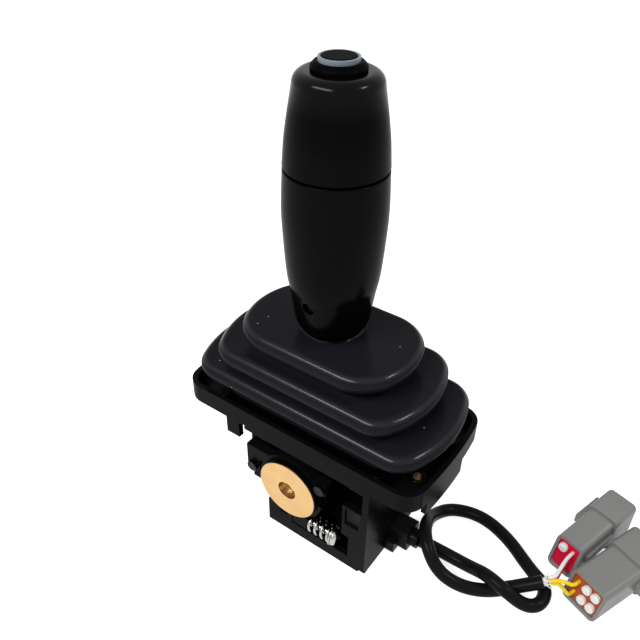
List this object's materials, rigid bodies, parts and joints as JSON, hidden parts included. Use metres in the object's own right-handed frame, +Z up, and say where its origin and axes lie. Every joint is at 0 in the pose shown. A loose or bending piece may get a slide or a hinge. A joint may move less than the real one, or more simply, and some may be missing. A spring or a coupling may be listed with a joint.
{
  "type": "single-axis joystick controller",
  "caption": "Single-axis joystick controller with a push-button grip, stepped rubber gaiter, flange tray, brass-bushed pivot housing and a cable with two sealed connectors.",
  "frame": {"origin": "centre of the flange tray's underside, which rests on the panel, and of its four fixing inserts", "axes": "+Z up the lever, +X towards the cable outlet and along the tray's length, -Y the side with the friction brake"},
  "size_m": [0.2285, 0.1084, 0.2296],
  "materials": {
    "black_plastic": "satin moulded",
    "brass": "turned",
    "gaiter_rubber": "satin",
    "black_metal": "satin",
    "bright_steel": "polished",
    "board_green": "lacquered",
    "steel": "machined",
    "cable_black": "satin jacket",
    "sheath_white": "matte",
    "wire_white": "satin",
    "wire_red": "satin",
    "wire_yellow": "satin",
    "connector_grey": "moulded",
    "seal_crimson": "satin",
    "wedge_green": "moulded",
    "plug_white": "satin",
    "seal_orange": "satin",
    "magnet_metal": "plated",
    "grip_black": "semi-gloss",
    "button_black": "gloss",
    "button_ring_grey": "satin"
  },
  "bodies": {
    "base": {"flange_tray": "black_plastic", "threaded_inserts": "brass", "gaiter": "gaiter_rubber", "gaiter_clamp_frame": "black_metal", "clamp_screws": "black_metal", "body_housing": "black_plastic", "base_cover": "black_plastic", "cover_screws": "black_metal", "flange_screws": "black_metal", "plate_screws": "black_metal", "brake_block": "black_plastic", "brake_screw": "bright_steel", "brake_washer": "bright_steel", "brake_spring": "bright_steel", "sensor_board": "board_green", "board_screws": "steel", "hall_sensor": "black_plastic", "front_bearing_plate": "black_plastic", "rear_bearing_plate": "black_plastic", "front_pivot_bush": "brass", "rear_pivot_bush": "brass", "cable_gland": "cable_black", "cable": "cable_black", "cable_sleeve": "sheath_white", "white_wire": "wire_white", "red_wire": "wire_red", "upper_yellow_wire": "wire_yellow", "lower_yellow_wire": "wire_yellow", "small_connector_body": "connector_grey", "small_connector_seal": "seal_crimson", "small_connector_wedge": "wedge_green", "small_connector_plugs": "plug_white", "large_connector_body": "connector_grey", "large_connector_seal": "seal_orange", "large_connector_wedge": "wedge_green", "large_connector_plugs": "plug_white"},
    "lever": {"lever_hub": "black_plastic", "pivot_pin": "steel", "spacer_rings": "black_plastic", "roll_pin": "steel", "lever_rod": "steel", "switch_lead": "cable_black", "magnet_carrier": "black_plastic", "magnet": "magnet_metal", "grip_lower_shell": "grip_black", "grip_upper_shell": "grip_black", "grip_screw": "black_metal", "button_bezel": "button_black", "button_ring": "button_ring_grey", "switch_body": "black_plastic", "button_spring": "steel"},
    "button": {"button_cap": "button_black"}
  },
  "joints": [
    {"name": "lever_tilt", "type": "hinge", "parent": "base", "child": "lever", "pos_m": [0, 0, -0.0252], "axis": [0, 1, 0], "range_deg": [-20, 20], "deforming": ["gaiter"]},
    {"name": "button_press", "type": "slide", "parent": "lever", "child": "button", "axis": [0, 0, -1], "range_m": [0, 0.0012], "stiffness_N_per_m": 1200, "springref_m": -0.001, "deforming": ["button_spring"]}
  ]
}
